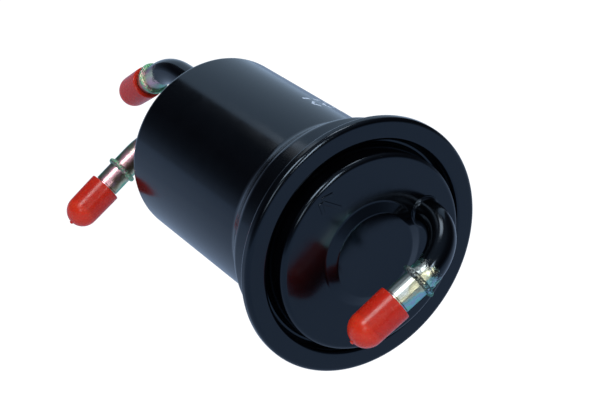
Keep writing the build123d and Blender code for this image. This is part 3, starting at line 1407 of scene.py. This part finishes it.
    def cap(self) -> DustCap:
        """Describe the cap on the pipe's end.

        Returns:
            The cap, still to be built.
        """
        mouth = self.corner + self.way * (self.wall_end + self.cap_mouth_gap)
        bore = self.radius - self.lead_in_step + self.cap_clearance
        return DustCap(self.name, mouth, self.way, bore, self.sides)

    def vinyl(self) -> CapVinyl:
        """Return the cap's finish."""
        filled = self.lead_in_length - self.cap_mouth_gap
        return CapVinyl(f"{self.name}_cap_vinyl", self.cap().mouth, self.way, filled)


# ---------------------------------------------------------------- generic marks
@dataclass(frozen=True)
class Stroke:
    """One straight stroke of a mark.

    Attributes:
        where: Its middle.
        lift: Quaternion that turns its face from +Z to the surface's outward way.
        lean: Its turn on the surface, in degrees.
        length: Along the stroke.
        width: Across the stroke.
    """

    where: Vector
    lift: Quaternion
    lean: float
    length: float
    width: float

    def turned(self) -> Euler:
        """Return the stroke's rotation."""
        return (self.lift @ Quaternion((0.0, 0.0, 1.0), math.radians(self.lean))).to_euler()


def join_pieces(name: str, pieces: Sequence[bpy.types.Object]) -> bpy.types.Object:
    """Join strokes into one piece whose place is in its mesh.

    Args:
        name: The new piece's name.
        pieces: The strokes.

    Returns:
        The joined object.
    """
    deselect()
    for piece in pieces:
        piece.select_set(True)
    bpy.context.view_layer.objects.active = pieces[0]
    bpy.ops.object.join()
    joined = bpy.context.object
    joined.name = name
    joined.data.name = name
    bpy.ops.object.transform_apply(location=True, rotation=True, scale=True)
    return joined


@dataclass
class PrintedMark:
    """Pale chevrons and dashes printed round the can, in place of any lettering.

    Attributes:
        row_along: X of the chevrons' middles.
        dash_along: X of the dashes.
        first_angle: The first chevron's angle from +Y towards +Z, in degrees.
        angle_step: From one chevron to the next, in degrees.
        chevrons: How many there are.
        arm_length: Length of a chevron's arm.
        arm_width: Its width.
        arm_lean: Its turn from the can's axis, in degrees.
        arm_share: How far an arm's middle is from the chevron's, as a share of its length.
        dash_length: Length of a dash.
        dash_width: Its width.
        film: Thickness of the ink.
        cuts: How often a stroke is cut so that it can lie round the can.
    """

    row_along: float = 13.4 * MM
    dash_along: float = 8.6 * MM
    first_angle: float = 74.5
    angle_step: float = 7.6
    chevrons: int = 8
    arm_length: float = 2.7 * MM
    arm_width: float = 0.85 * MM
    arm_lean: float = 38.0
    arm_share: float = 0.36
    dash_length: float = 2.4 * MM
    dash_width: float = 1.1 * MM
    film: float = 0.02 * MM
    cuts: int = 7

    def strokes(self, radius: float) -> list[Stroke]:
        """Place the mark's strokes round the can's axis.

        Args:
            radius: Their distance from it.

        Returns:
            The strokes, chevron by chevron.
        """
        found = []
        for index in range(self.chevrons):
            angle = math.radians(self.first_angle - self.angle_step * index)
            out = Vector((0.0, math.cos(angle), math.sin(angle))) * radius
            lift = Quaternion(AXIS, angle - math.pi / 2)
            for hand in (-1.0, 1.0):
                where = AXIS * (self.row_along + hand * self.arm_length * self.arm_share) + out
                found.append(Stroke(where, lift, hand * self.arm_lean, self.arm_length, self.arm_width))
            where = AXIS * self.dash_along + out
            found.append(Stroke(where, lift, 90.0, self.dash_length, self.dash_width))
        return found

    def build(self, can: bpy.types.Object, radius: float) -> bpy.types.Object:
        """Lay the strokes on the can as a thin film.

        Args:
            can: The can that they are printed on.
            radius: Its radius.

        Returns:
            All the strokes as one piece.
        """
        parts = []
        for stroke in self.strokes(radius + self.film):
            deselect()
            bpy.ops.mesh.primitive_plane_add(size=1.0, location=stroke.where, rotation=stroke.turned())
            part = bpy.context.object
            part.scale = (stroke.length, stroke.width, 1.0)
            bpy.ops.object.mode_set(mode="EDIT")
            bpy.ops.mesh.subdivide(number_cuts=self.cuts)
            bpy.ops.object.mode_set(mode="OBJECT")
            parts.append(part)
        mark = join_pieces("can_printed_chevrons", parts)
        apply_modifier(
            mark,
            "SHRINKWRAP",
            target=can,
            wrap_method="NEAREST_SURFACEPOINT",
            wrap_mode="ABOVE_SURFACE",
            offset=self.film,
        )
        apply_modifier(mark, "SOLIDIFY", thickness=self.film, offset=0.0)
        return mark


@dataclass
class EmbossedArrow:
    """A shallow pressed arrow on the cover's face, in place of any pressed mark.

    Attributes:
        across: Y of its middle.
        up: Z of its middle.
        shaft: Length of its shaft.
        head: Length of each stroke of its head.
        width: Width of its strokes.
        head_lean: Turn of the head's strokes from the shaft, in degrees.
        head_share: How far the head's strokes start behind its tip, as a share of the width.
        lean: Its turn from upright, in degrees.
        height: How far it stands out.
        soft_edge: Round of its edges.
        edge_steps: How many faces that round gets.
    """

    across: float = -13.6 * MM
    up: float = 18.2 * MM
    shaft: float = 6.6 * MM
    head: float = 3.6 * MM
    width: float = 1.1 * MM
    head_lean: float = 42.0
    head_share: float = 0.75
    lean: float = 62.0
    height: float = 0.24 * MM
    soft_edge: float = 0.2 * MM
    edge_steps: int = 4

    def strokes(self, face_x: float) -> list[Stroke]:
        """Place the arrow's strokes on a face.

        Args:
            face_x: X of the face.

        Returns:
            The shaft and the two strokes of the head.
        """
        lift = Quaternion((0.0, 1.0, 0.0), math.pi / 2)
        turn = Quaternion(AXIS, math.radians(self.lean))
        centre = Vector((face_x, self.across, self.up))
        tip = Vector((0.0, 0.0, self.shaft / 2 + self.width))
        found = [Stroke(centre, turn @ lift, 0.0, self.shaft, self.width)]
        for hand in (-1.0, 1.0):
            bend = Quaternion(AXIS, math.radians(hand * self.head_lean))
            arm = bend @ Vector((0.0, 0.0, -self.head / 2 - self.width * self.head_share))
            found.append(Stroke(centre + turn @ (tip + arm), turn @ bend @ lift, 0.0, self.head, self.width))
        return found

    def build(self, face_x: float) -> bpy.types.Object:
        """Press the arrow up out of the face.

        Args:
            face_x: X of the face.

        Returns:
            The whole arrow as one piece.
        """
        parts = []
        for stroke in self.strokes(face_x):
            deselect()
            bpy.ops.mesh.primitive_cube_add(size=1.0, location=stroke.where, rotation=stroke.turned())
            part = bpy.context.object
            part.scale = (stroke.length, stroke.width, 2 * self.height)
            bpy.ops.object.transform_apply(location=False, rotation=False, scale=True)
            apply_modifier(part, "BEVEL", width=self.soft_edge, segments=self.edge_steps)
            parts.append(part)
        arrow = join_pieces("cover_embossed_arrow", parts)
        fair(arrow, angle=60.0)
        return arrow


# ---------------------------------------------------------------- stage
def bearing(azimuth: float, elevation: float) -> Vector:
    """Return the unit vector in a direction.

    Args:
        azimuth: From +X towards +Y, in degrees.
        elevation: Above the horizon, in degrees.

    Returns:
        The vector.
    """
    turn, lift = math.radians(azimuth), math.radians(elevation)
    return Vector((math.cos(lift) * math.cos(turn), math.cos(lift) * math.sin(turn), math.sin(lift)))


@dataclass(frozen=True)
class Softbox:
    """A rectangular soft light that faces the filter.

    Attributes:
        name: The light's name.
        azimuth: Its direction from +X towards +Y, in degrees.
        elevation: Its height above the horizon, in degrees.
        size: Width and height.
        power: In watts.
        colour: Its colour.
        distance: From the origin.
    """

    name: str
    azimuth: float
    elevation: float
    size: tuple[float, float]
    power: float
    colour: Colour = (1.0, 1.0, 1.0)
    distance: float = 1.2

    def hang(self) -> None:
        """Add the light to the scene."""
        where = bearing(self.azimuth, self.elevation)
        bpy.ops.object.light_add(type="AREA", location=where * self.distance)
        light = bpy.context.object
        light.name = self.name
        light.rotation_euler = where.to_track_quat("Z", "Y").to_euler()
        light.data.shape = "RECTANGLE"
        light.data.size, light.data.size_y = self.size
        light.data.energy = self.power
        light.data.color = self.colour


COOL = (0.58, 0.78, 1.0)

SOFTBOXES = (
    Softbox("key_overhead", 142.0, 71.0, (0.34, 0.34), 1.9),
    Softbox("front_strip", -4.0, 38.0, (0.14, 0.75), 4.6),
    Softbox("left_strip", -70.0, 58.0, (0.4, 0.4), 4.6),
    Softbox("low_fill", -45.0, 27.0, (0.35, 0.35), 1.4),
    Softbox("rear_fill", -172.0, 48.0, (0.3, 0.3), 0.3),
    Softbox("back_panel", 149.0, 24.0, (1.3, 1.4), 3.7, COOL),
)

SKY = (
    (0.30, (0.34, 0.45, 0.62)),
    (0.45, (0.21, 0.28, 0.40)),
    (0.50, (0.15, 0.20, 0.29)),
    (0.55, (0.07, 0.095, 0.14)),
    (0.59, (0.04, 0.05, 0.07)),
    (0.68, (0.02, 0.023, 0.032)),
    (0.85, (0.05, 0.06, 0.08)),
    (1.00, (0.20, 0.24, 0.31)),
)


@dataclass
class Studio:
    """Floor, soft lights, surroundings and camera.

    Attributes:
        floor_drop: How far the floor lies below the can's axis.
        floor_half: Half the floor's side.
        floor_cuts: How often the floor is cut each way.
        floor_dark: The floor card's darker tone.
        floor_pale: Its paler tone.
        mottle: Pattern of the card's mottle.
        mottle_depth: Depth of that mottle.
        aim: Where the camera looks.
        distance: From the aim to the camera.
        azimuth: The camera's direction from +X towards +Y, in degrees.
        elevation: Its height above the horizon, in degrees.
        lens: Its focal length in millimetres.
        sensor: Its sensor's width in millimetres.
        nearest: Nearest thing that it sees.
        white: Tone of floor and air as they are seen.
        mirrored: The floor's tone in reflections.
        floor_cast: The floor's tone as light on the filter.
        air_cast: The air's tone as light on the filter.
    """

    floor_drop: float = 0.11
    floor_half: float = 1.6
    floor_cuts: int = 8
    floor_dark: Colour = (0.10, 0.10, 0.11)
    floor_pale: Colour = (0.13, 0.13, 0.13)
    mottle: Grain = Grain(12.0, 4.0)
    mottle_depth: float = 0.05 * MM
    aim: Vector = field(default_factory=lambda: Vector((0.0070, 0.0067, -0.0048)))
    distance: float = 0.4689
    azimuth: float = -32.3
    elevation: float = 25.6
    lens: float = 94.9
    sensor: float = 36.0
    nearest: float = 0.01
    white: Colour = (0.98, 0.98, 0.98)
    mirrored: Colour = (0.245, 0.35, 0.53)
    floor_cast: Colour = (0.60, 0.62, 0.66)
    air_cast: Colour = (0.30, 0.31, 0.33)

    def build_floor(self) -> None:
        """Lay a pale lit floor with a faint mottle, darker in what the gloss paint mirrors."""
        deselect()
        bpy.ops.mesh.primitive_plane_add(size=2 * self.floor_half, location=(0.0, 0.0, -self.floor_drop))
        floor = bpy.context.object
        floor.name = "studio_floor"
        bpy.ops.object.transform_apply(location=True, rotation=True, scale=True)
        edit_all(floor)
        bpy.ops.mesh.subdivide(number_cuts=self.floor_cuts)
        deselect()
        bench = FinishBench("floor_card")
        bench.set(Roughness=0.85, Emission_Strength=1.0, Specular_IOR_Level=0.0)
        mottle = bench.noise(self.mottle.scale, self.mottle.detail)
        stops = [(self.mottle.low, self.floor_dark), (self.mottle.high, self.floor_pale)]
        bench.join(bench.ramp(mottle, stops), "Base Color")
        bench.join(bench.by_ray(self.white, self.mirrored, self.floor_cast), "Emission Color")
        bench.bump(mottle, self.mottle_depth)
        floor.data.materials.append(bench.material)

    def build_air(self) -> None:
        """Set the surroundings: white as seen, and a sweep from floor to ceiling in reflections."""
        world = bpy.data.worlds.new("studio_air")
        bpy.context.scene.world = world
        world.use_nodes = True
        bench = NodeBench(world.node_tree)
        way = bench.add("TexCoord", {}).outputs["Generated"]
        split = bench.add("SeparateXYZ", {0: way})
        height = bench.add("MapRange", {"Value": split.outputs["Z"], "From Min": -1.0})
        sweep = bench.ramp(height.outputs["Result"], SKY)
        tone = bench.by_ray(self.white, sweep, self.air_cast)
        bench.feed(bench.nodes["Background"], {"Color": tone})

    def build_camera(self) -> None:
        """Set up the camera that the scene is seen through."""
        back = bearing(self.azimuth, self.elevation)
        bpy.ops.object.camera_add(
            location=self.aim + back * self.distance,
            rotation=back.to_track_quat("Z", "Y").to_euler(),
        )
        camera = bpy.context.object
        camera.name = "main_view"
        camera.data.lens = self.lens
        camera.data.sensor_width = self.sensor
        camera.data.clip_start = self.nearest
        bpy.context.scene.camera = camera
        bpy.context.scene.view_settings.view_transform = "Standard"

    def build(self) -> None:
        """Build the whole stage."""
        self.build_camera()
        self.build_floor()
        for softbox in SOFTBOXES:
            softbox.hang()
        self.build_air()


# ---------------------------------------------------------------- this filter
SILVER = (0.66, 0.74, 0.72)
TEAL = (0.30, 0.70, 0.66)
STRAW = (0.72, 0.71, 0.48)
SOOT = (0.05, 0.05, 0.045)
ROSE = (0.80, 0.46, 0.52)
GREEN = (0.26, 0.66, 0.36)
BRONZE = (0.40, 0.28, 0.16)
OLIVE = (0.44, 0.46, 0.34)
VIOLET = (0.40, 0.52, 0.66)

PIPES = (
    HosePipe(
        name="inlet",
        side=1,
        foot_radius=18.9 * MM,
        foot_angle=26.3,
        heading=-145.9,
        rise=18.3 * MM,
        bend=94.2,
        bend_radius=15.3 * MM,
        bead_at=17.2 * MM,
        bead_height=1.4 * MM,
        wall_end=25.0 * MM,
        paint_end=13.8 * MM,
        bands=(
            (0.0, SILVER), (0.07, TEAL), (0.3, SILVER), (0.58, BRONZE), (0.64, GREEN), (0.70, TEAL),
            (0.75, VIOLET), (0.79, TEAL), (0.83, STRAW), (0.88, OLIVE), (0.93, SILVER), (1.0, SILVER),
        ),
        bead_tone=SOOT,
        bead_wear=0.09 * MM,
    ),
    HosePipe(
        name="outlet",
        side=-1,
        foot_radius=4.8 * MM,
        foot_angle=165.7,
        heading=-144.1,
        rise=21.5 * MM,
        bend=91.2,
        bend_radius=15.3 * MM,
        bead_at=21.5 * MM,
        bead_height=1.0 * MM,
        wall_end=28.5 * MM,
        paint_end=10.0 * MM,
        bands=(
            (0.0, STRAW), (0.12, GREEN), (0.20, STRAW), (0.28, BRONZE), (0.34, ROSE), (0.42, ROSE),
            (0.50, OLIVE), (0.60, GREEN), (0.8, STRAW), (1.0, STRAW),
        ),
        bead_tone=GREEN,
        bead_wear=0.03 * MM,
    ),
    HosePipe(
        name="return",
        side=-1,
        foot_radius=20.5 * MM,
        foot_angle=101.3,
        heading=-97.3,
        rise=19.6 * MM,
        bend=33.7,
        bend_radius=25.0 * MM,
        bead_at=12.5 * MM,
        bead_height=1.1 * MM,
        wall_end=16.2 * MM,
        paint_end=5.5 * MM,
        bands=(
            (0.0, STRAW), (0.10, ROSE), (0.20, GREEN), (0.5, ROSE), (0.70, GREEN), (0.80, OLIVE),
            (0.90, ROSE), (1.0, STRAW),
        ),
        bead_tone=GREEN,
        bead_wear=0.03 * MM,
    ),
)


def dress_inner_nodes() -> None:
    """Give every CAD node that stays its own finish."""
    made = {slot: finish.build() for slot, finish in INNER_FINISHES.items()}
    slots = {entry["node"]: entry["material_slot"] for entry in frame["record"]["subparts"]}
    for node, piece in frame["nodes"].items():
        slot = Slot(slots[node])
        if slot in made:
            piece.data.materials.clear()
            piece.data.materials.append(made[slot])
            LOG.info("%s: dressed as %s", node, slot.value)


def main() -> None:
    """Build the filter, piece by piece, and its stage."""
    Studio().build()
    dress_inner_nodes()
    enamel = GlossEnamel()
    black = enamel.build()
    body = FilterBody()
    can = body.build_can()
    cover = body.build_cover()
    for pipe in PIPES:
        sheet, sheet_x = (cover, body.plateau_x) if pipe.side > 0 else (can, body.far_x)
        pipe.place(sheet_x)
        pierce(sheet, pipe.foot, AXIS, pipe.radius)
        plating, vinyl = pipe.plating(enamel).build(), pipe.vinyl().build()
        finish_piece(pipe.build(), plating, BODY, Slot.ZINC_PLATE, f"{pipe.name}_pipe")
        finish_piece(pipe.braze().build(), black, BODY, Slot.BLACK_PAINT, f"{pipe.name}_braze")
        rider = f"{pipe.name}_dust_cap"
        finish_piece(pipe.cap().build(), vinyl, rider, Slot.RED_VINYL, f"{pipe.name}_cap")
    for sheet, node in ((can, "can"), (cover, "end_cover")):
        fair(sheet)
        finish_piece(sheet, black, BODY, Slot.BLACK_PAINT, node)
    mark = PrintedMark().build(can, body.can_radius)
    finish_piece(mark, MARK_INK.build(), BODY, Slot.BLACK_PAINT)
    arrow = EmbossedArrow().build(body.plateau_x)
    finish_piece(arrow, black, BODY, Slot.BLACK_PAINT)


if __name__ == "__main__":
    logging.basicConfig(level=logging.INFO)
    main()
